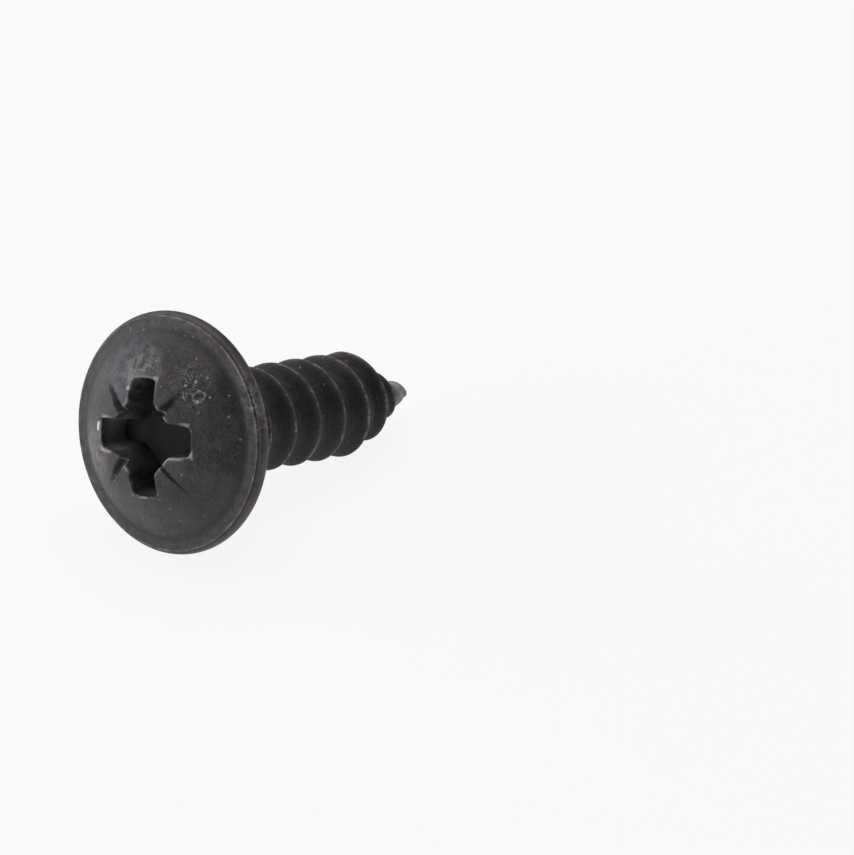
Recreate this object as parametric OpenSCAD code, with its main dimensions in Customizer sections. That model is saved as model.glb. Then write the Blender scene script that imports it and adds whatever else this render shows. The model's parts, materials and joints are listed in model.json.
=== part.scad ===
// Self-tapping screw with a domed, flanged head, a type Z cross recess,
// a coarse thread and a gimlet point. It is one forged and rolled piece.
// Millimetres. It lies at rest on the plane z = 0, on the rim of its flange and
// on one turn of its thread, with its point along +X.
// Inside the modules the screw's own axis is Z: the seat under the head is at
// z = 0, the point is above it and the head is below it.

/* [Thread] */
// Outer diameter of the thread
thread_d = 3.5; // [2.9:0.1:4.2]
// Diameter of the core between the turns
core_d = 2.58; // [2:0.02:2.8]
// Distance from one turn to the next
pitch = 1.26; // [0.9:0.02:1.6]
// Half of the angle between the two sides of the thread
flank_angle = 30; // [20:1:34]
// Width of the flat along the thread's crest
crest_w = 0.08; // [0.04:0.01:0.16]
// Length under the head over which the thread grows to its full height
run_out = 1; // [0.4:0.1:2]
// Height of the thread where it leaves the head
start_h = 0.25; // [0.1:0.05:0.4]

/* [Length and point] */
// Length from the seat to the end of the point
length = 11.64; // [9:0.1:25]
// Length of the tapered point
point_l = 3.22; // [2.4:0.1:4.5]
// Diameter of the blunt end of the point
tip_d = 0.17; // [0.1:0.01:0.4]
// Height of the last turn above the tip
tip_thread_h = 0.28; // [0.1:0.02:0.4]
// Length over which the last turn dies away
tip_run_out = 0.26; // [0.2:0.02:0.6]

/* [Head] */
// Diameter of the flange
flange_d = 7.81; // [7.4:0.1:10]
// Thickness of the flange at its rim
flange_t = 0.49; // [0.4:0.01:0.8]
// Depth of the rounding of the rim
rim_depth = 0.12; // [0.04:0.01:0.3]
// Diameter of the dome where it meets the flange
dome_d = 6.76; // [5.4:0.02:7]
// Height that the flange gains from its rim to the dome
flange_rise = 0.14; // [0.04:0.01:0.3]
// Height from the seat to the top of the dome
head_h = 1.84; // [1.6:0.02:2.4]
// Fullness of the dome, where 2 is a plain parabola
dome_power = 2.46; // [2:0.02:3]
// Reach of the hollow blend where the dome meets the flange
dome_blend = 0.25; // [0.1:0.01:0.4]
// Gap between the crest of the thread and the flat of the seat, seen end on
seat_gap = 0.03; // [0.02:0.01:0.2]

/* [Recess] */
// Length across two opposite wings
wing_span = 3.88; // [3.4:0.02:4.2]
// Width of a wing
wing_w = 1.12; // [0.8:0.02:1.3]
// Side of the square that joins the wings
square_w = 2.36; // [2:0.02:2.6]
// Depth of the wings below the top of the dome
wing_depth = 1.45; // [1.1:0.05:1.55]
// Depth of the cone at the bottom, below the wings
cone_depth = 0.45; // [0.1:0.05:0.6]
// Draft of the wings
wing_draft = 7; // [2:1:10]
// Draft of the square
square_draft = 9; // [2:1:12]
// Length across two opposite tick grooves
tick_span = 4.44; // [4:0.02:5]
// Width of a tick groove at its inner end
tick_w = 0.32; // [0.1:0.02:0.5]
// Depth of a tick groove at its inner end
tick_depth = 0.3; // [0.1:0.05:0.5]

/* [Lie] */
// Turn of the screw about its own axis as it lies
turn = 230; // [0:1:359]
// Turn of the recess from the start of the thread
recess_turn = 28; // [0:1:89]

/* [Hidden] */
// Steps round the thread, points along each blend and points along the dome
steps = 36;
blend_steps = 5;
dome_steps = 16;
// How far the cutters reach out of the dome, and how deep pieces start in each other
clear = 0.5;
bury = 0.03;
// Turn from the lowest point of the rim to the seam of the turned head
seam_turn = -4;
thread_r = thread_d / 2;
core_r = core_d / 2;
flange_r = flange_d / 2;
dome_r = dome_d / 2;
tip_r = tip_d / 2;
taper_z = length - point_l;
dome_base = flange_t + flange_rise;
rim_r = flange_r - rim_depth;
// Radius of the fillet under the head, which starts just inside the shank's skin
fillet = thread_r + seat_gap - core_r + bury;
// Exponents that curve the taper of the core and of the crest, where 1 is straight
core_power = 1.09;
crest_power = 0.82;
// The crest starts to narrow a little past the start of the core's taper
crest_taper_z = taper_z + crest_w * 2;
first_step = -ceil(steps * (1 + 0.1 / pitch));
last_step = floor(steps * (length - crest_w) / pitch);

// Straight ramp from 0 at a to 1 at b
function ramp(v, a, b) = max(0, min(1, (v - a) / (b - a)));
// Radius of the core at height z, and of the crest of the thread
function core_at(z) = core_r - (core_r - tip_r) * pow(ramp(z, taper_z, length), core_power);
function crest_full(z) =
    thread_r - (thread_r - tip_r - tip_thread_h)
        * pow(ramp(z, crest_taper_z, length - tip_run_out), crest_power)
    - tip_thread_h * ramp(z, length - tip_run_out, length);
function crest_start(z) =
    core_r + start_h * ramp(z, -flange_t, 0) + (thread_r - core_r - start_h) * ramp(z, 0, run_out);
function crest_at(z) = max(core_at(z), min(crest_full(z), crest_start(z)));
// Height of the dome's skin below the seat at radius r
function dome_at(r) =
    dome_base + (head_h - dome_base) * (1 - pow(min(1, r / dome_r), dome_power));
// Point on a round blend from a to c that leaves both towards b
function blend(a, b, c, t) = a * (1 - t) * (1 - t) + b * 2 * t * (1 - t) + c * t * t;

// Height of the crest at one step, and the four points of the thread there
function step_z(i) = pitch * i / steps;
function flank_w(z) = crest_w / 2 + max(crest_at(z) - core_at(z), crest_w / 2) * tan(flank_angle);
function ring_point(r, i, z) = [r * cos(360 * i / steps), r * sin(360 * i / steps), z];
function thread_points(i) =
    let (z = step_z(i), w = flank_w(z), c = crest_w / 2)
    [
        ring_point(core_at(z - w), i, z - w),
        ring_point(max(crest_at(z), core_at(z - c)), i, z - c),
        ring_point(max(crest_at(z), core_at(z + c)), i, z + c),
        ring_point(core_at(z + w), i, z + w)
    ];

// Shank and thread as one closed skin that winds up the screw. The last point of
// each turn meets the first point of the turn above it, and a cap closes each end
module shank() {
    rings = [for (i = [first_step : last_step]) thread_points(i)];
    n = len(rings);
    points = concat([for (ring = rings) each ring],
        [[0, 0, step_z(first_step + steps / 2)], [0, 0, length]]);
    bottom = 4 * n;
    top = bottom + 1;
    // Neighbours of the four points of step i: the next step and the turn above
    sides = [
        for (i = [0 : n - 2], j = [0 : 3])
            let (
                wrap = j == 3,
                a = 4 * i + j,
                b = wrap ? 4 * (i + steps) : a + 1,
                c = wrap ? 4 * (i + 1 + steps) : a + 5,
                d = a + 4
            )
            if (!wrap || i + 1 + steps < n)
                each [[a, b, c], [a, c, d]]
    ];
    bottom_cap = concat(
        [for (i = [0 : steps - 1]) [bottom, 4 * i, 4 * (i + 1)]],
        [for (j = [0 : 3]) [bottom, j == 3 ? 4 * steps : j + 1, j]]
    );
    top_cap = concat(
        [for (i = [n - 1 - steps : n - 2]) [top, 4 * (i + 1) + 3, 4 * i + 3]],
        [for (j = [0 : 3]) [top, j == 0 ? 4 * (n - 1 - steps) + 3 : 4 * (n - 1) + j - 1,
            4 * (n - 1) + j]]
    );
    polyhedron(points, concat(sides, bottom_cap, top_cap), convexity = 10);
}

// Outline of the head, as radius and height, from the shank round to the dome
function head_outline() =
    let (
        seat_r = thread_r + seat_gap,
        slope = flange_rise / (rim_r - dome_r),
        out = min(dome_blend, 0.8 * (rim_r - dome_r)),
        corner = [dome_r, -dome_base],
        on_flange = [dome_r + out, -dome_base + slope * out],
        on_dome = [dome_r - dome_blend, -dome_at(dome_r - dome_blend)]
    )
    concat(
        [[0, fillet]],
        [for (k = [0 : blend_steps]) let (t = 90 * k / blend_steps)
            [seat_r - fillet * cos(t), fillet * (1 - sin(t))]],
        [for (k = [0 : 2 * blend_steps]) let (t = 90 * k / blend_steps)
            [rim_r + rim_depth * sin(t), -flange_t / 2 * (1 - cos(t))]],
        [for (k = [0 : blend_steps]) blend(on_flange, corner, on_dome, k / blend_steps)],
        [for (k = [1 : dome_steps]) let (r = on_dome[0] * cos(90 * k / dome_steps))
            [k == dome_steps ? 0 : r, -dome_at(r)]]
    );

module head() {
    rotate([0, 0, seam_turn - turn]) rotate_extrude($fn = 96) polygon(head_outline());
}

// Block with drafted sides that widens downwards, out through the dome
module drafted_block(x, y, draft) {
    depth = wing_depth + clear;
    grow = clear * tan(draft);
    foot = [x + 2 * grow, y + 2 * grow];
    taper = 2 * depth * tan(draft);
    translate([0, 0, -head_h - clear])
        linear_extrude(height = depth, scale = [1 - taper / foot[0], 1 - taper / foot[1]])
            square(foot, center = true);
}

// One V groove that runs out on the dome
module tick() {
    inner = square_w / 2;
    outer = tick_span / 2;
    start = [inner, -dome_at(inner) + tick_depth];
    finish = [outer, -dome_at(outer)];
    run = finish - start;
    slope = atan2(run[1], run[0]);
    reach = norm(run) + clear + inner / 2;
    half_w = tick_w / 2 / tick_depth;
    translate([start[0], 0, start[1]])
        rotate([0, -slope, 0])
            translate([-inner / 2, 0, 0])
                rotate([90, 0, 90])
                    linear_extrude(height = reach)
                        polygon([[0, 0], [half_w * 2, -2], [-half_w * 2, -2]]);
}

module recess() {
    for (a = [0, 90]) {
        rotate([0, 0, a]) drafted_block(wing_span, wing_w, wing_draft);
        rotate([0, 0, 2 * a + 45]) tick();
        rotate([0, 0, 2 * a + 135]) tick();
    }
    rotate([0, 0, 45]) drafted_block(square_w, square_w, square_draft);
    cone_r = square_w / 2 - wing_depth * tan(square_draft);
    translate([0, 0, wing_depth - head_h - bury])
        cylinder(h = cone_depth + bury, r1 = cone_r, r2 = bury, $fn = 48);
}

// How the screw comes to rest. At a tilt a, a point at height z and at a reach r
// from the axis towards the floor lies z * sin(a) + r * cos(a) below the seat's centre
function crest_reach(i) = crest_at(step_z(i)) * cos(360 * i / steps + turn);
function thread_low(a) =
    max([for (i = [0 : last_step]) (step_z(i) + crest_w / 2) * sin(a) + crest_reach(i) * cos(a)]);
function rim_low(a) = max([for (p = head_outline()) p[1] * sin(a) + p[0] * cos(a)]);
function tilt_between(a, b, n) =
    let (m = (a + b) / 2)
    n == 0 ? m : thread_low(m) > rim_low(m) ? tilt_between(a, m, n - 1) : tilt_between(m, b, n - 1);
rest_tilt = tilt_between(0, 45, 30);
point_x = length * cos(rest_tilt) + tip_r * sin(rest_tilt);
head_x = min([for (p = head_outline()) p[1] * cos(rest_tilt) - p[0] * sin(rest_tilt)]);

module screw() {
    color("dimgray")
        translate([-(point_x + head_x) / 2, 0, rim_low(rest_tilt)])
            rotate([0, 90 + rest_tilt, 0])
                rotate([0, 0, turn])
                    difference() {
                        union() {
                            shank();
                            head();
                        }
                        rotate([0, 0, recess_turn]) recess();
                    }
}

screw();
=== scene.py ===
"""A blackened self-tapping screw that lies on a pale table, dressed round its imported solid.

The screw is shaped in its own frame, in millimetres. Its axis is Z, the seat under the
head is at z = 0, the point is above it and the head below it. The last step of the
modelling lays the finished mesh where the frame's seat says, in metres.
"""

import json
import math

import bmesh
import bpy
from mathutils import Matrix, Vector


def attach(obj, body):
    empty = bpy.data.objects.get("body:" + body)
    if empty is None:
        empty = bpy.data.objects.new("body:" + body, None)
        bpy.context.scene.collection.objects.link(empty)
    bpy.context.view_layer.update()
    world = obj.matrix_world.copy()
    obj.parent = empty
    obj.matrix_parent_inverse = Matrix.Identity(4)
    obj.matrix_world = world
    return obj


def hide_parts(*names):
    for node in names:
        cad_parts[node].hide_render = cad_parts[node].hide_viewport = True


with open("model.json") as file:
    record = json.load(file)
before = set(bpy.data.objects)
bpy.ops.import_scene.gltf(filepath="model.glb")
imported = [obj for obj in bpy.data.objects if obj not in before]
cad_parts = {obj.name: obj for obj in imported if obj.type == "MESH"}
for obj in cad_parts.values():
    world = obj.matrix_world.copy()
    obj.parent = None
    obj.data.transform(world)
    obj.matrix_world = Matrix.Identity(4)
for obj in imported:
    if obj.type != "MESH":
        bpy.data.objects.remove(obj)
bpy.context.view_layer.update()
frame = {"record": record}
mounts = {mount["name"]: mount for mount in frame["record"]["mounts"]}

# Thread and shank
THREAD_R = mounts["thread"]["dims"]["r_mm"]
LENGTH = mounts["thread"]["dims"]["length_mm"]
CORE_R = 1.29
PITCH = 1.26
FLANK_SLOPE = math.tan(math.radians(30))
CREST_W = 0.08
RUN_OUT = 1.0
START_H = 0.25
POINT_L = 3.22
TIP_R = 0.085
TIP_THREAD_H = 0.28
TIP_RUN_OUT = 0.26
CORE_POWER = 1.09
CREST_POWER = 0.82
TAPER_Z = LENGTH - POINT_L
ROOT_ROUNDING = 0.07
# How much fuller than the CAD's cone the core is at the tip, and over what length
TIP_FULLNESS = 0.08
TIP_FULL_L = 0.9
LAST_TURN_DIP = 0.05
TIP_SHARPNESS = 0.06
TURN_STEPS = 96

# Head
FLANGE_R = 3.905
FLANGE_T = 0.49
RIM_DEPTH = 0.12
DOME_R = 3.38
FLANGE_RISE = 0.06
HEAD_H = 1.84
DOME_POWER = 2.46
DOME_BLEND = 0.15
SEAT_GAP = 0.03
RIM_R = FLANGE_R - RIM_DEPTH
RIDGE_R = 0.02
RIM_STEP = 0.07
DOME_BASE = FLANGE_T + FLANGE_RISE
HEAD_STEPS = 576
HEAD_ARCS = 16

# Recess
WING_R = 1.94
WING_HALF_W = 0.56
SQUARE_HALF_W = 1.18
WING_DEPTH = 1.45
CONE_DEPTH = 0.45
CONE_R = 0.95
WING_DRAFT = math.tan(math.radians(7))
SQUARE_DRAFT = math.tan(math.radians(9))
TICK_R = 2.22
TICK_HALF_W = 0.16
TICK_DEPTH = 0.3
FAINT_HALF_W = 0.09
FAINT_DEPTH = 0.14
WING_CORNER = 0.36
CORNER = 0.07
LIP = 0.07

# Lie, as turns about the screw's own axis in degrees
TURN = 230
RECESS_TURN = 28

# Camera, from the screw's seat, in millimetres and degrees
CAMERA_RISE = 26.89
CAMERA_HEADING = 50.58
FOCAL_PIXELS = 4000
IMAGE_W = 854
SEAT_IN_VIEW = (-7.978, 0.143, 127.548)


def ramp(value, low, high):
    """Straight ramp from 0 at low to 1 at high."""
    return max(0.0, min(1.0, (value - low) / (high - low)))


def ease(value, low, high):
    """Smooth ramp from 0 at low to 1 at high."""
    t = ramp(value, low, high)
    return t * t * (3 - 2 * t)


def soft_min(a, b, width):
    return (a + b - math.sqrt((a - b) ** 2 + width ** 2)) / 2


def soft_max(a, b, width):
    return (a + b + math.sqrt((a - b) ** 2 + width ** 2)) / 2


# The thread's form

def core_at(z):
    fuller = TIP_FULLNESS * math.sin(math.pi * ramp(z, LENGTH - TIP_FULL_L, LENGTH))
    fuller -= TIP_SHARPNESS * ramp(z, LENGTH - 0.25, LENGTH) ** 2
    return CORE_R - (CORE_R - TIP_R) * ramp(z, TAPER_Z, LENGTH) ** CORE_POWER + fuller


def crest_at(z):
    taper = ramp(z, TAPER_Z + CREST_W * 2, LENGTH - TIP_RUN_OUT) ** CREST_POWER
    full = THREAD_R - (THREAD_R - TIP_R - TIP_THREAD_H) * taper
    full -= TIP_THREAD_H * ramp(z, LENGTH - TIP_RUN_OUT, LENGTH)
    full -= LAST_TURN_DIP * math.sin(math.pi * ramp(z, LENGTH - 2.2, LENGTH - 0.9))
    start = CORE_R + START_H * ramp(z, -FLANGE_T, 0)
    start += (THREAD_R - CORE_R - START_H) * ramp(z, 0, RUN_OUT)
    return max(core_at(z), min(full, start))


def crest_offset(angle, z):
    """Height of a point above the nearest middle of the thread's crest."""
    return (z - PITCH * angle / math.tau + PITCH / 2) % PITCH - PITCH / 2


def thread_radius(angle, z):
    offset = crest_offset(angle, z)
    fall = soft_max(abs(offset) - CREST_W / 2, 0, 0.03) / FLANK_SLOPE
    return soft_max(crest_at(z - offset) - fall, core_at(z), ROOT_ROUNDING)


# The head's form, with heights measured from the seat up to the top of the dome

def dome_height(r):
    return DOME_BASE + (HEAD_H - DOME_BASE) * (1 - min(1, r / DOME_R) ** DOME_POWER)


def tick_height(x, y):
    """Height of the nearest groove's walls above the seat. The one along +X is faint."""
    along = max(abs(x), abs(y))
    across = min(abs(x), abs(y))
    half_w, depth = (FAINT_HALF_W, FAINT_DEPTH) if x > abs(y) else (TICK_HALF_W, TICK_DEPTH)
    inner = SQUARE_HALF_W
    share = max(0, (along - inner) / (TICK_R - inner)) ** 1.5
    bottom = dome_height(inner) - depth
    bottom += share * (dome_height(TICK_R) - bottom)
    return bottom + depth * (across / half_w) ** 2


def head_height(r, angle):
    """Height of the dome with its tick grooves; angle is from a wing of the recess."""
    diagonal = angle - math.pi / 4
    groove = tick_height(r * math.cos(diagonal), r * math.sin(diagonal))
    return soft_min(dome_height(r), groove, 0.035)


def recess_radius(angle, depth):
    """Reach of the recess at an angle from a wing, at a depth below the top of the dome."""
    across = abs((angle + math.pi / 4) % (math.pi / 2) - math.pi / 4)
    wing_end = (WING_R - depth * WING_DRAFT) / math.cos(across)
    wing_side = (WING_HALF_W - depth * WING_DRAFT) / max(math.sin(across), 1e-6)
    square = (SQUARE_HALF_W - depth * SQUARE_DRAFT) / math.cos(math.pi / 4 - across)
    return soft_max(soft_min(wing_end, wing_side, WING_CORNER), square, CORNER)


def recess_lip(angle):
    """Radius at which the wall of the recess meets the dome."""
    r = WING_R
    for _ in range(6):
        r = recess_radius(angle, HEAD_H - head_height(r, angle))
    return r


def floor_height(r):
    return HEAD_H - WING_DEPTH - CONE_DEPTH * (1 - min(1, r / CONE_R))


# The zones of the head's profile, from the bottom of the recess round to the shank
FLOOR, WALL, EDGE, DOME, TURNED = range(5)


def rim_profile():
    """The fine ridge along the flange's upper edge, the step outside it and the side."""
    middle = Vector((RIM_R - RIDGE_R, FLANGE_T - RIDGE_R * 0.3))
    points = [middle + RIDGE_R * Vector((math.sin(t), math.cos(t)))
              for t in (math.pi * (k / 6 - 0.3) for k in range(5))]
    top = FLANGE_T - RIM_STEP
    points += [Vector((RIM_R + RIM_DEPTH * math.sin(t) ** 0.75, top / 2 * (1 + math.cos(t))))
               for t in (math.pi * k / 16 for k in range(17))]
    return points


def turned_profile():
    """Points from the dome's foot over the flange and its underside to the shank."""
    slope = FLANGE_RISE / (RIM_R - DOME_R)
    out = DOME_BLEND
    start = Vector((DOME_R - DOME_BLEND, dome_height(DOME_R - DOME_BLEND)))
    corner = Vector((DOME_R, DOME_BASE))
    end = Vector((DOME_R + out, DOME_BASE - slope * out))
    points = [start.lerp(corner, t).lerp(corner.lerp(end, t), t)
              for t in (k / 10 for k in range(1, 11))]
    points += [end.lerp(Vector((RIM_R - 3 * RIDGE_R, FLANGE_T + 0.004)), k / 4)
               for k in range(1, 5)]
    points += rim_profile()
    seat_r = THREAD_R + SEAT_GAP
    fillet = seat_r - CORE_R + 0.03
    points += [Vector((seat_r + (RIM_R - seat_r) * (1 - k / 9), 0)) for k in range(1, 9)]
    points += [Vector((seat_r - fillet * (1 - math.cos(t)), -fillet * math.sin(t)))
               for t in (math.pi / 2 * k / 10 for k in range(11))]
    points.append(Vector((0, -fillet)))
    return points


def head_profile():
    """Zone, share of the zone and a first radius and height for each point of the profile."""
    rows = [(FLOOR, k / 16) for k in range(16)]
    rows += [(WALL, k / 12) for k in range(12)]
    rows += [(EDGE, k / 5) for k in range(5)]
    rows += [(DOME, k / 34) for k in range(34)]
    rows = [(zone, share, k / len(rows) * (DOME_R - DOME_BLEND), HEAD_H)
            for k, (zone, share) in enumerate(rows)]
    return rows + [(TURNED, 0, p.x, p.y) for p in turned_profile()]


def head_point(zone, share, angle, lip_r, lip_h):
    """Radius and height of a point of the recess or the dome."""
    top = lip_h - LIP
    foot_h = HEAD_H - WING_DEPTH
    if zone == FLOOR:
        r = share * recess_radius(angle, WING_DEPTH)
        return r, floor_height(r)
    if zone == WALL:
        h = foot_h + (top - foot_h) * share
        return recess_radius(angle, HEAD_H - h), h
    if zone == EDGE:
        bow = math.pi / 2 * share
        wall_r = recess_radius(angle, HEAD_H - top)
        r = wall_r + (lip_r + LIP - wall_r) * (1 - math.cos(bow))
        return r, top + (head_height(lip_r + LIP, angle) - top) * math.sin(bow)
    inner = lip_r + LIP
    r = inner + (DOME_R - DOME_BLEND - inner) * share
    return r, head_height(r, angle)


def wind(bm, profile, steps, copies, rise):
    """Spins a profile round the axis in equal arcs that climb, and joins the arcs."""
    arc = math.tau * steps / TURN_STEPS if rise else math.tau / copies
    settings = {"cent": (0, 0, 0), "axis": (0, 0, 1), "use_merge": False}
    bmesh.ops.spin(bm, geom=profile, dvec=(0, 0, rise / steps), angle=arc, steps=steps,
                   use_duplicate=False, **settings)
    arc_geom = bm.verts[:] + bm.edges[:] + bm.faces[:]
    bmesh.ops.spin(bm, geom=arc_geom, dvec=(0, 0, rise), angle=arc * (copies - 1),
                   steps=copies - 1, use_duplicate=True, **settings)
    bmesh.ops.remove_doubles(bm, verts=bm.verts, dist=1e-4)


def make_head():
    bm = bmesh.new()
    zone_layer = bm.verts.layers.int.new("zone")
    share_layer = bm.verts.layers.float.new("share")
    verts = []
    for zone, share, r, h in head_profile():
        vert = bm.verts.new((r, 0, -h))
        vert[zone_layer] = zone
        vert[share_layer] = share
        verts.append(vert)
    edges = [bm.edges.new(pair) for pair in zip(verts, verts[1:])]
    wind(bm, verts + edges, HEAD_STEPS // HEAD_ARCS, HEAD_ARCS, 0)
    lips = {}
    for vert in bm.verts:
        zone = vert[zone_layer]
        if zone == TURNED:
            continue
        around = math.atan2(vert.co.y, vert.co.x)
        angle = around - math.radians(RECESS_TURN)
        key = round(around, 4)
        if key not in lips:
            lip_r = recess_lip(angle)
            lips[key] = lip_r, head_height(lip_r, angle)
        r, h = head_point(zone, vert[share_layer], angle, *lips[key])
        vert.co = r * math.cos(around), r * math.sin(around), -h
    bmesh.ops.remove_doubles(bm, verts=bm.verts, dist=1e-4)
    bmesh.ops.recalc_face_normals(bm, faces=bm.faces)
    return bm


def thread_profile():
    """Heights of the points of one pitch, from the middle of one groove to the next."""
    crest = [0.0, 0.02, 0.04, 0.055, 0.075, 0.105, 0.14, 0.18, 0.22, 0.26, 0.3, 0.34, 0.4, 0.5]
    return [-PITCH / 2] + [-w for w in reversed(crest[1:])] + crest + [PITCH / 2]


def make_shank():
    """Winds one pitch of the thread up the shank, then gives each point its own radius."""
    bm = bmesh.new()
    first = -1
    turns = math.ceil(LENGTH / PITCH) - first + 1
    verts = [bm.verts.new((CORE_R, 0, PITCH * first + w)) for w in thread_profile()]
    edges = [bm.edges.new(pair) for pair in zip(verts, verts[1:])]
    wind(bm, verts + edges, TURN_STEPS, turns, PITCH)
    foot = -FLANGE_T / 2
    for height, side in ((foot, -1), (LENGTH, 1)):
        geom = bm.verts[:] + bm.edges[:] + bm.faces[:]
        bmesh.ops.bisect_plane(bm, geom=geom, dist=1e-5, plane_co=(0, 0, height),
                               plane_no=(0, 0, side), clear_outer=True)
    for vert in bm.verts:
        angle = math.atan2(vert.co.y, vert.co.x)
        r = thread_radius(angle, vert.co.z)
        vert.co.x = r * math.cos(angle)
        vert.co.y = r * math.sin(angle)
    bmesh.ops.holes_fill(bm, edges=[e for e in bm.edges if e.is_boundary], sides=0)
    bmesh.ops.recalc_face_normals(bm, faces=bm.faces)
    return bm


def to_object(bm, name):
    mesh = bpy.data.meshes.new(name)
    bm.to_mesh(mesh)
    bm.free()
    thing = bpy.data.objects.new(name, mesh)
    bpy.context.scene.collection.objects.link(thing)
    return thing


def join_solids(whole, part):
    """Makes the two closed meshes one."""
    union = whole.modifiers.new("join", "BOOLEAN")
    union.operation = "UNION"
    union.solver = "MANIFOLD"
    union.object = part
    bpy.context.view_layer.update()
    depsgraph = bpy.context.evaluated_depsgraph_get()
    mesh = bpy.data.meshes.new_from_object(whole.evaluated_get(depsgraph))
    mesh.materials.clear()
    whole.modifiers.clear()
    whole.data = mesh
    bpy.data.objects.remove(part)


def screw_matrix():
    """From the screw's own frame in millimetres to the row frame in metres."""
    seat = mounts["seat"]
    axis = Vector(seat["axis"])
    tilt = math.atan2(-axis.z, axis.x)
    lie = Matrix.Rotation(math.pi / 2 + tilt, 4, "Y")
    turn = Matrix.Rotation(math.radians(TURN), 4, "Z")
    return Matrix.Translation(seat["pos_m"]) @ lie @ turn @ Matrix.Scale(0.001, 4)


def crest_marks(r, around, z):
    """How rubbed the crest of the thread is at a point of the shank, and how near the point lies to
    the tip.
    """
    offset = crest_offset(around, z)
    height = max(crest_at(z - offset) - core_at(z), 0.01)
    high = ramp(height, 0.04, 0.2) * ease(r, core_at(z) + height / 2, core_at(z) + height)
    line = 1 - ease(abs(offset), CREST_W / 2, CREST_W / 2 + 0.035)
    shoulder = 1 - ease(abs(offset), CREST_W / 2, CREST_W / 2 + 0.3)
    return {"crest": line * high, "shoulder": shoulder * high,
            "root": ease(abs(offset), PITCH / 2 - 0.26, PITCH / 2 - 0.08),
            "tip": ease(z, LENGTH - 1.15, LENGTH - 0.6)}


def rim_marks(r, height):
    """How rubbed the ridge on the flange is, and how near are the rim's side and the foot."""
    upper = ease(height, FLANGE_T / 2, FLANGE_T * 0.9)
    ridge = Vector((RIM_R - RIDGE_R, FLANGE_T + RIDGE_R / 2))
    return {"rim": 1 - ease((Vector((r, height)) - ridge).length, 0.015, 0.05),
            "side": ease(r, RIM_R, RIM_R + 0.03),
            "flange": ease(r, DOME_R, DOME_R + 0.15) * upper,
            "foot": (1 - ease(abs(r - DOME_R + 0.03), 0.03, 0.17)) * upper}


def recess_gap(r, angle, depth):
    """Distance out from the recess's wall at a depth; angle is from a wing."""
    x = abs(r * math.cos(angle))
    y = abs(r * math.sin(angle))
    wing_end = max(x, y) - WING_R + depth * WING_DRAFT
    wing_side = min(x, y) - WING_HALF_W + depth * WING_DRAFT
    square = (x + y) / math.sqrt(2) - SQUARE_HALF_W + depth * SQUARE_DRAFT
    return min(max(wing_end, wing_side), square)


def recess_marks(r, around, height):
    """How rubbed the recess's lip is at a point, the lip also carrying a painted highlight, and how
    deep the point lies inside.
    """
    angle = around - math.radians(RECESS_TURN)
    below = head_height(r, angle) - height
    beside = math.hypot(recess_gap(r, angle, HEAD_H - height), below)
    return {"lip": 1 - ease(beside, 0.03, 0.1), "pit": ease(dome_height(r) - height, 0.04, 0.6)}


def marks_at(x, y, z):
    """Marks of the skin at a point, by name."""
    r = math.hypot(x, y)
    around = math.atan2(y, x)
    if z > RUN_OUT / 4:
        return crest_marks(r, around, z)
    underside = r > CORE_R - 0.05 and z > -0.1
    if r > TICK_R + LIP or underside:
        return rim_marks(r, -z)
    return recess_marks(r, around, -z)


def mark_surface(mesh):
    """Writes the marks of every point as attributes of the mesh."""
    found = [marks_at(*vert.co) for vert in mesh.vertices]
    for name in ("crest", "shoulder", "root", "tip", "rim", "side", "flange", "foot", "lip", "pit"):
        layer = mesh.attributes.new(name, "FLOAT", "POINT")
        layer.data.foreach_set("value", [marks.get(name, 0) for marks in found])


def make_screw():
    screw = to_object(make_head(), "blackened_screw")
    join_solids(screw, to_object(make_shank(), "shank"))
    mark_surface(screw.data)
    screw.data.transform(screw_matrix())
    screw.data.materials.append(black_finish())
    screw.data.shade_smooth()
    screw.data.set_sharp_from_angle(angle=math.radians(38))
    return screw


class Signal:
    """One output socket of a node tree. Arithmetic on it adds Math nodes."""

    def __init__(self, tree, socket):
        self.tree = tree
        self.socket = socket

    def node(self, kind, settings=None, inputs=None, output=0):
        """Adds any node: its type, its settings, then the values or links of its sockets."""
        made = self.tree.nodes.new(kind)
        settings = dict(settings or {})
        stops = settings.pop("stops", None)
        for name, value in settings.items():
            setattr(made, name, value)
        if stops:
            ramp_stops = made.color_ramp.elements
            while len(ramp_stops) < len(stops):
                ramp_stops.new(1)
            for stop, (place, colour) in zip(ramp_stops, stops):
                stop.position = place
                stop.color = colour
        for name, value in (inputs or {}).items():
            if isinstance(value, Signal):
                self.tree.links.new(value.socket, made.inputs[name])
            else:
                made.inputs[name].default_value = value
        return Signal(self.tree, made.outputs[output] if made.outputs else None)

    def maths(self, operation, *values):
        return self.node("ShaderNodeMath", {"operation": operation}, dict(enumerate(values)))

    def __add__(self, other):
        return self.maths("ADD", self, other)

    def __sub__(self, other):
        return self.maths("SUBTRACT", self, other)

    def __rsub__(self, other):
        return self.maths("SUBTRACT", other, self)

    def __mul__(self, other):
        return self.maths("MULTIPLY", self, other)

    __radd__ = __add__
    __rmul__ = __mul__

    def absolute(self):
        return self.maths("ABSOLUTE", self)

    def clamped(self):
        return self.maths("MINIMUM", self.maths("MAXIMUM", self, 0), 1)

    def between(self, low, high):
        """Smooth ramp of this value from 0 at low to 1 at high."""
        settings = {"interpolation_type": "SMOOTHSTEP"}
        return self.node("ShaderNodeMapRange", settings,
                         {"Value": self, "From Min": low, "From Max": high})

    def blend(self, colour_a, colour_b):
        """Colour between the two, with this value as the share of the second."""
        return self.node("ShaderNodeMix", {"data_type": "RGBA"},
                         {0: self, 6: colour_a, 7: colour_b}, output=2)


def new_material(name):
    """An empty material, and a signal from which its nodes are added."""
    material = bpy.data.materials.new(name)
    material.use_nodes = True
    material.node_tree.nodes.clear()
    return material, Signal(material.node_tree, None)


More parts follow.
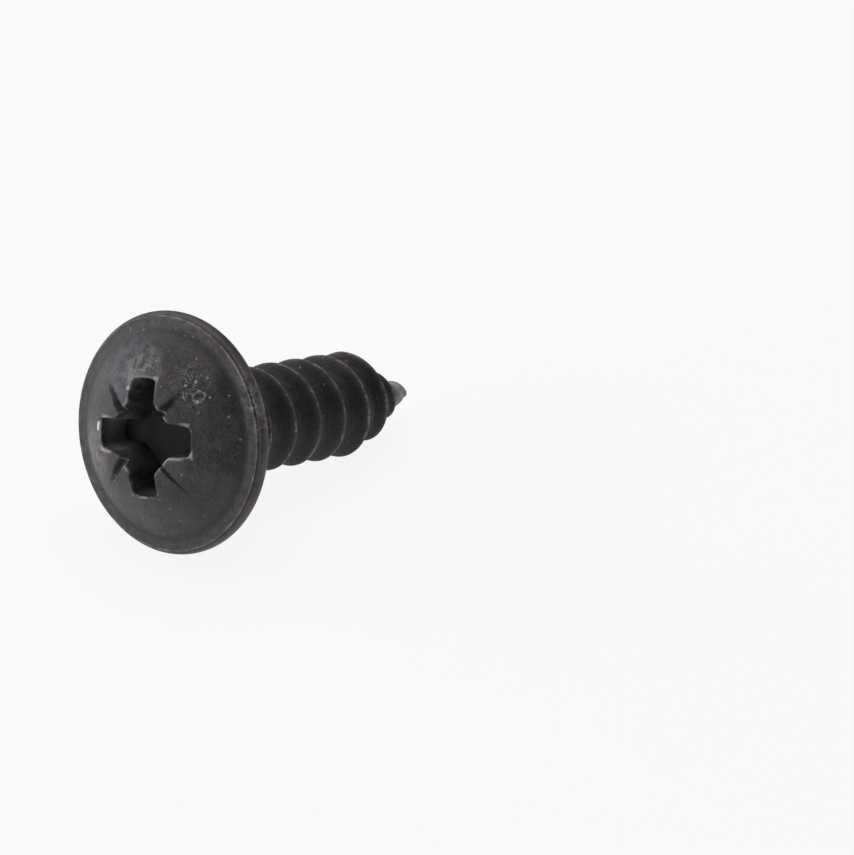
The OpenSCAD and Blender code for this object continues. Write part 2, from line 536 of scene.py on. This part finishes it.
def black_finish():
    """Satin black coat: mottled, speckled, and rubbed to grey along its edges, with painted shade on
    the shank, in the recess and round the dome's foot, and painted highlights on the dome, the wing
    walls and the recess's lip.
    """
    material, start = new_material("black coat")
    lie = screw_matrix()
    place = start.node("ShaderNodeTexCoord", output=3)
    local = start.node("ShaderNodeMapping", {"vector_type": "TEXTURE"}, {
        "Vector": place,
        "Location": lie.to_translation(),
        "Rotation": lie.to_euler(),
        "Scale": (0.001, 0.001, 0.001),
    })

    def noise_of(scale, detail=3.0, rough=0.55):
        return start.node("ShaderNodeTexNoise", None, {
            "Vector": local, "Scale": scale, "Detail": detail, "Roughness": rough})

    def mark(name):
        return start.node("ShaderNodeAttribute", {"attribute_name": name}, output=2)

    def gap_to(r, degrees):
        """Distance to a place on the dome, given by its radius and angle."""
        turn = math.radians(degrees)
        place = (r * math.cos(turn), r * math.sin(turn), -dome_height(r))
        return start.node("ShaderNodeVectorMath", {"operation": "DISTANCE"},
                          {0: local, 1: place}, output=1)

    def spot(r, degrees, size):
        return 1 - gap_to(r, degrees).between(size * 0.5, size)

    clouds = noise_of(0.8, 4.0)
    patches = noise_of(3.6, 4.0, 0.65)
    fine = noise_of(15, 3.0, 0.7)
    broken = noise_of(2.6, 5.0, 0.7)
    pit = mark("pit")
    height = start.node("ShaderNodeSeparateXYZ", None, {"Vector": local}, output=2)
    on_shank = height.between(-0.1, 0.2)
    flange = mark("flange") * (0.3 + 0.7 * patches.between(0.4, 0.6))

    tone = (clouds * 0.3 + patches * 0.25 + fine * 0.45).between(0.41, 0.59)
    coat = tone.blend((0.009, 0.0072, 0.0092, 1), (0.06, 0.0548, 0.0608, 1))
    # Painted shade: the coat is darker on the shank than on the head
    coat = (on_shank * 0.45).blend(coat, (0.006, 0.0052, 0.0058, 1))
    coat = (flange * 0.5).blend(coat, (0.085, 0.08, 0.072, 1))
    root = mark("root") * (0.4 + 0.5 * patches.between(0.4, 0.6))
    coat = root.blend(coat, (0.062, 0.057, 0.069, 1))
    # Brownish tint on the thread's shoulders and the rim's side, made lighter than the coat so that
    # it also paints in the sheen of light on the thread's tops
    brown_tint_and_sheen = (mark("side") * 0.8 + mark("shoulder") * 0.8) * (0.4 + 0.6 * clouds.between(0.4, 0.6))
    coat = brown_tint_and_sheen.clamped().blend(coat, (0.11, 0.1, 0.086, 1))
    # Painted reflection: a cool, lighter patch on the upper left of the dome
    cool_reflection = (1 - gap_to(2.3, 275).between(0.4, 1.5)) * patches.between(0.35, 0.6)
    coat = (cool_reflection * 0.6).blend(coat, (0.11, 0.12, 0.135, 1))
    # Painted shade in the corner round the dome's foot
    coat = (mark("foot") * 0.6).blend(coat, (0.008, 0.0068, 0.0078, 1))
    # Painted highlight: a light streak on the dome beside the left wing
    left_streak_highlight = (1 - gap_to(2.55, 193).between(0.4, 1.3)) * patches.between(0.3, 0.6)
    coat = (left_streak_highlight * 0.75).blend(coat, (0.19, 0.18, 0.165, 1))
    # Paler towards the tip, in patches
    pale_tip = mark("tip") * (0.6 + 0.4 * patches.between(0.4, 0.6))
    coat = pale_tip.blend(coat, (0.6, 0.59, 0.56, 1))
    # Painted shade: the recess is a little darker throughout and darkest on its floor
    bottom = height.between(-0.46, -0.4)
    coat = ((0.1 + 0.8 * bottom) * pit).blend(coat, (0.011, 0.0088, 0.0114, 1))
    # Painted light on the recess's walls towards the wing ends, strongest at the left wing
    wall_light = 1 - gap_to(1.95, 207).between(0.6, 1.6)
    wall_light = wall_light + (1 - gap_to(1.95, 118).between(0.2, 0.9)) * 0.35
    wall_light = wall_light + (1 - gap_to(1.95, 298).between(0.2, 0.9)) * 0.3
    coat = (wall_light.clamped() * pit * (1 - bottom)).blend(coat, (0.26, 0.247, 0.26, 1))

    cells = start.node("ShaderNodeTexVoronoi", None, {"Vector": local, "Scale": 3.4})
    cell_colour = start.node("ShaderNodeTexVoronoi", None, {"Vector": local, "Scale": 3.4}, output=1)
    chosen = start.node("ShaderNodeSeparateColor", None, {"Color": cell_colour})
    ragged = (fine - 0.5) * 0.3
    specks = (1 - (cells + ragged).between(0.07, 0.17)) * chosen.between(0.6, 0.85) * (1 - pit)

    # The scuffed place on the dome, with a ring-shaped dent, the marks near the recess, and painted
    # glints at the left wing's end
    lines = 1 - (noise_of(4.2, 2.0, 0.5) - 0.5).absolute().between(0.006, 0.035)
    thin = 1 - (noise_of(2.3, 2.0, 0.5) - 0.5).absolute().between(0.004, 0.02)
    scratchy = (lines * 0.35 + thin * 0.6) * (0.3 + 0.7 * patches.between(0.42, 0.56))
    scuffs = (1 - gap_to(2.5, 342).between(0.2, 1.0)) * scratchy.clamped() * 0.8
    ring = 1 - (gap_to(2.5, 353) + (broken - 0.5) * 0.35 - 0.17).absolute().between(0.015, 0.05)
    scuffs = scuffs + ring * (0.2 + 0.8 * patches.between(0.4, 0.55)) * 0.32
    dots = spot(2.62, 342.5, 0.07) + spot(2.35, 340, 0.06) + spot(2.38, 356, 0.08)
    dots = dots + spot(2.93, 345, 0.05) + spot(2.74, 357, 0.05) + spot(3.04, 12.5, 0.06)
    scuffs = scuffs + dots * (0.5 + fine) * 0.6
    # Painted glints: near-white spots at the left wing's end
    left_wing_glints = (spot(2.03, 211, 0.08) + spot(2.04, 213.5, 0.09) + spot(2.03, 216, 0.08)).clamped()
    scuffs = scuffs + spot(1.65, 277, 0.1) * 0.6
    haze = (1 - gap_to(2.1, 294).between(0.2, 1.1)) * (lines * 0.3 + patches.between(0.4, 0.6) * 0.4)

    nicked = (broken * 0.5 + fine * 0.5).between(0.53, 0.59)
    crest = mark("crest") * (0.15 + 0.45 * broken.between(0.42, 0.6) + nicked * 1.4)
    rim = mark("rim") * (0.25 + 0.75 * broken.between(0.4, 0.6))
    knocks = (1 - gap_to(3.8, 8).between(0.3, 1.5)) * patches.between(0.44, 0.56)
    rim = rim + (mark("rim") + mark("side") * 0.7 + mark("flange") * (0.2 + lines * 0.5)) * knocks
    # The recess's lip is rubbed, and it is also lightened as a painted highlight, most near the top
    # wing
    top_wing_glint = 1 - gap_to(1.95, 298).between(0.4, 0.8)
    lip = mark("lip") * (noise_of(1.9, 4.0).between(0.44, 0.58) + top_wing_glint * 0.5).clamped()
    # The rubbed marks: wear, together with the painted highlight on the lip
    rubbed = (crest * 0.4 + rim * 0.4 + lip * 0.65 + specks * 0.5 + scuffs + haze * 0.6).clamped()
    colour = rubbed.blend(coat, (0.5, 0.482, 0.475, 1))
    colour = left_wing_glints.blend(colour, (0.95, 0.95, 0.95, 1))

    relief = fine * 0.5 + patches * 0.6 - rubbed * 0.2
    bump = start.node("ShaderNodeBump", None, {
        "Strength": 0.8, "Distance": 0.00006, "Height": relief})
    shader = start.node("ShaderNodeBsdfPrincipled", None, {
        "Base Color": colour,
        "Roughness": 0.46 + (pit + on_shank * 0.5) * 0.3 - rubbed * 0.08 + (fine - 0.5) * 0.2,
        "Metallic": rubbed * 0.4,
        "Specular Tint": (1.0, 0.92, 1.0, 1),
        "Normal": bump,
    })
    start.node("ShaderNodeOutputMaterial", None, {"Surface": shader})
    return material


def make_floor():
    """A pale table. The camera and the screw's gloss see it near white, with the shadow."""
    bm = bmesh.new()
    bmesh.ops.create_grid(bm, x_segments=1, y_segments=1, size=1.5)
    floor = to_object(bm, "table")
    material, start = new_material("pale table")
    ray = "ShaderNodeLightPath"
    seen = start.node(ray, output=0) + start.node(ray, output=3) + start.node(ray, output=6)
    lit = start.node("ShaderNodeBsdfDiffuse", None, {"Color": (0.93, 0.93, 0.93, 1)})
    plain = start.node("ShaderNodeEmission", None, {"Color": (0.99, 0.99, 0.99, 1)})
    mixed = start.node("ShaderNodeMixShader", None, {0: seen.clamped() * 0.9, 1: lit, 2: plain})
    start.node("ShaderNodeOutputMaterial", None, {"Surface": mixed})
    floor.data.materials.append(material)


def add_softbox(name, azimuth, rise, distance, size, watts):
    """Square area light that looks at the screw, placed by its direction from the screw."""
    data = bpy.data.lights.new(name, "AREA")
    data.shape = "SQUARE"
    data.size = size
    data.energy = watts
    turn = math.radians(azimuth)
    lift = math.radians(rise)
    direction = Vector((math.sin(turn) * math.cos(lift), math.cos(turn) * math.cos(lift),
                        math.sin(lift)))
    lamp = bpy.data.objects.new(name, data)
    lamp.location = direction * distance
    lamp.rotation_euler = direction.to_track_quat("Z", "Y").to_euler()
    bpy.context.scene.collection.objects.link(lamp)


def make_camera():
    heading = math.radians(CAMERA_HEADING)
    rise = math.radians(CAMERA_RISE)
    right = Vector((math.cos(heading), -math.sin(heading), 0))
    away = Vector((math.sin(heading), math.cos(heading), 0))
    forward = away * math.cos(rise) - Vector((0, 0, 1)) * math.sin(rise)
    down = forward.cross(right)
    x, y, z = (value / 1000 for value in SEAT_IN_VIEW)
    data = bpy.data.cameras.new("camera")
    data.lens = data.sensor_width * FOCAL_PIXELS / IMAGE_W
    data.clip_start = 0.01
    camera = bpy.data.objects.new("camera", data)
    camera.rotation_euler = forward.to_track_quat("-Z", "Y").to_euler()
    camera.location = Vector(mounts["seat"]["pos_m"]) - right * x - down * y - forward * z
    bpy.context.scene.collection.objects.link(camera)
    bpy.context.scene.camera = camera


screw = make_screw()
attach(screw, "root")
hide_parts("screw")
make_floor()
make_camera()
# Azimuth 0 is along +Y and grows towards +X
add_softbox("left_softbox", CAMERA_HEADING - 65, 12, 0.4, 0.25, 0.58)
add_softbox("front_softbox", CAMERA_HEADING - 120, 12, 0.4, 0.25, 0.52)
add_softbox("top_softbox", CAMERA_HEADING - 20, 75, 0.4, 0.4, 0.95)
world = bpy.data.worlds.new("studio")
bpy.context.scene.world = world
world.use_nodes = True
world.node_tree.nodes["Background"].inputs["Color"].default_value = (0.06, 0.06, 0.06, 1)
bpy.context.scene.view_settings.view_transform = "Standard"
